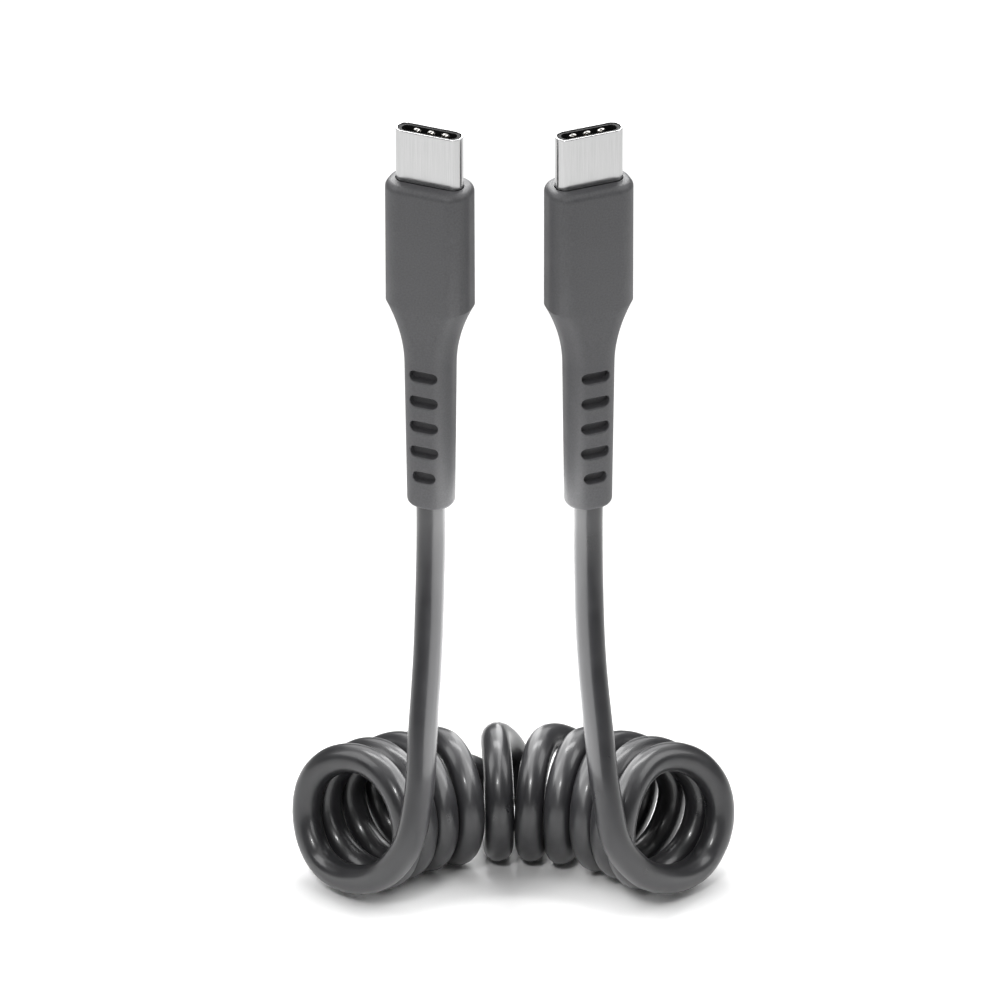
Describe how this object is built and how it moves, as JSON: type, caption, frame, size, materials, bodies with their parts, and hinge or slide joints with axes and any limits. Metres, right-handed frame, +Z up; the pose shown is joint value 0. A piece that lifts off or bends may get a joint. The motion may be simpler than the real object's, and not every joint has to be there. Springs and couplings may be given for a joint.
{
  "type": "coiled usb c cable",
  "caption": "Short curly charging cable with a flat reversible plug on each end; the coil stands in an arc and both plugs rise from its ends.",
  "frame": {"origin": "on the floor, under the middle of the coil's arc", "axes": "+Z up along the height of the upright plugs, +X to the right from the left plug to the right plug, +Y to the back, away from the open side of the coil's arc"},
  "size_m": [0.0528, 0.0293, 0.0999],
  "materials": {
    "cable_jacket": "smooth extruded soft jacket, satin gloss, dark grey",
    "plug_moulding": "fine spark-eroded matte, dark grey",
    "plug_metal": "bright nickel-plated deep-drawn steel",
    "liner_plastic": "moulded black",
    "spring_metal": "bright plated strip"
  },
  "bodies": {
    "root": {"cable_coil": "cable_jacket", "cable_tail_left": "cable_jacket", "cable_tail_right": "cable_jacket", "left_plug_overmould": "plug_moulding", "left_plug_shell": "plug_metal", "left_plug_liner": "liner_plastic", "left_plug_spring_front": "spring_metal", "left_plug_spring_back": "spring_metal", "right_plug_overmould": "plug_moulding", "right_plug_shell": "plug_metal", "right_plug_liner": "liner_plastic", "right_plug_spring_front": "spring_metal", "right_plug_spring_back": "spring_metal"}
  },
  "joints": []
}
